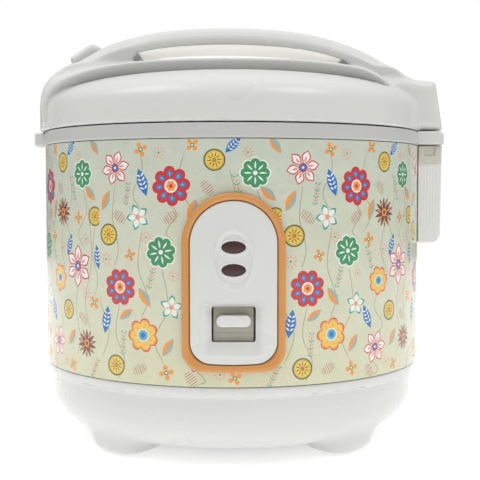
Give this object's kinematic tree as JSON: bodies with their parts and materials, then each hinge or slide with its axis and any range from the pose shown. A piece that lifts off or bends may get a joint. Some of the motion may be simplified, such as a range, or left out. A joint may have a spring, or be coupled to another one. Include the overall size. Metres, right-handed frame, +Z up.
{
  "type": "rice cooker",
  "caption": "Round electric rice cooker with a hinged domed lid, arched carry handle, front panel with switch key, side dew collector and lift-out pot.",
  "frame": {"origin": "centre of the footprint, on the surface that the feet stand on", "axes": "+Z up; -Y is the front with the control panel; +X is the side with the lid hinge and the dew collector"},
  "size_m": [0.26, 0.2464, 0.259],
  "materials": {
    "white_plastic": "smooth injection-moulded white, semi-gloss",
    "ring_plastic": "smooth light grey-white, semi-gloss",
    "handle_plastic": "fine lengthwise ribs, warm white",
    "printed_steel": "pale green-cream enamel with an all-over folk-floral print",
    "orange_plastic": "smooth apricot orange",
    "lens": "dark red-brown lens",
    "key_plastic": "grey-olive satin",
    "clear_plastic": "milky white, faintly ribbed",
    "aluminium": "spun and anodised",
    "cast_aluminium": "as cast",
    "galvanised_steel": "galvanised sheet",
    "spring_steel": "bright wire",
    "brass": "plain brass",
    "rubber": "matt grey rubber",
    "silicone": "pale silicone rubber",
    "black_plastic": "black, fine matt texture",
    "ferrite": "sintered dark grey",
    "lamp_glass": "small neon lamp"
  },
  "bodies": {
    "body": {"base_housing": "white_plastic", "bottom_cover": "galvanised_steel", "foot_pad_front_left": "rubber", "foot_pad_front_right": "rubber", "foot_pad_rear_right": "rubber", "foot_pad_rear_left": "rubber", "outer_shell": "printed_steel", "top_ring": "ring_plastic", "inner_pot": "aluminium", "inner_liner": "galvanised_steel", "heater_plate": "cast_aluminium", "heater_terminal_left": "brass", "heater_terminal_right": "brass", "keep_warm_band": "cast_aluminium", "sensor_spring": "spring_steel", "switch_bracket": "galvanised_steel", "rocker_pin": "galvanised_steel", "micro_switch": "black_plastic", "thermal_fuse": "silicone", "panel_frame": "orange_plastic", "panel_face": "white_plastic", "lens_cook": "lens", "lens_warm": "lens", "lamp_cook": "lamp_glass", "lamp_warm": "lamp_glass", "power_inlet": "black_plastic", "inlet_pin_left": "brass", "inlet_pin_right": "brass", "hinge_bracket": "white_plastic", "hinge_pin": "spring_steel", "hinge_spring": "spring_steel", "latch_keeper": "white_plastic"},
    "lid": {"lid_cover": "white_plastic", "handle_arch": "white_plastic", "handle_underside": "handle_plastic", "hinge_cover": "white_plastic", "hinge_knuckles": "white_plastic", "lid_liner": "white_plastic", "inner_lid": "aluminium", "lid_seal": "silicone", "inner_lid_knob": "silicone", "steam_tube": "silicone", "vent_well": "white_plastic", "button_spring": "spring_steel", "latch_guide": "white_plastic"},
    "release_button": {"release_button": "white_plastic"},
    "latch_slider": {"latch_slider": "white_plastic"},
    "switch_key": {"key_plate": "key_plastic", "key_bar": "white_plastic", "key_rod": "black_plastic"},
    "rocker": {"rocker": "galvanised_steel"},
    "magnet": {"magnet": "ferrite"},
    "sensor": {"sensor_cap": "aluminium", "sensor_seat": "ferrite"},
    "dew_collector": {"dew_collector": "clear_plastic"},
    "vent_cap": {"steam_vent_cap": "white_plastic"}
  },
  "joints": [
    {"name": "lid_hinge", "type": "hinge", "parent": "body", "child": "lid", "pos_m": [0.1265, 0.0028, 0.1893], "axis": [0, 1, 0], "range_deg": [0, 90]},
    {"name": "button_slide", "type": "slide", "parent": "lid", "child": "release_button", "axis": [0, 0, -1], "range_m": [0, 0.0035], "stiffness_N_per_m": 300, "springref_m": -0.004, "deforming": ["button_spring"]},
    {"name": "latch_slide", "type": "slide", "parent": "lid", "child": "latch_slider", "axis": [1, 0, 0], "range_m": [0, 0.0035]},
    {"name": "key_slide", "type": "slide", "parent": "body", "child": "switch_key", "axis": [0, 0, 1], "range_m": [-0.0065, 0], "stiffness_N_per_m": 100, "springref_m": 0.012},
    {"name": "rocker_hinge", "type": "hinge", "parent": "body", "child": "rocker", "pos_m": [-0.003, -0.0372, 0.022], "axis": [1, 0, 0], "range_deg": [0, 7.2]},
    {"name": "magnet_slide", "type": "slide", "parent": "body", "child": "magnet", "axis": [0, 0, 1], "range_m": [0, 0.0048]},
    {"name": "sensor_slide", "type": "slide", "parent": "body", "child": "sensor", "axis": [0, 0, 1], "range_m": [-0.002, 0], "stiffness_N_per_m": 400, "springref_m": 0.006, "deforming": ["sensor_spring"]},
    {"name": "collector_slide", "type": "slide", "parent": "body", "child": "dew_collector", "axis": [1, 0, 0], "range_m": [0, 0.045]},
    {"name": "vent_cap_slide", "type": "slide", "parent": "lid", "child": "vent_cap", "axis": [0, 0, 1], "range_m": [0, 0.02]}
  ],
  "couplings": [
    {"joint": "latch_slide", "follows": "button_slide", "ratio": 1},
    {"joint": "rocker_hinge", "follows": "key_slide", "rad_per_m": -18.9},
    {"joint": "magnet_slide", "follows": "key_slide", "ratio": -0.723}
  ]
}
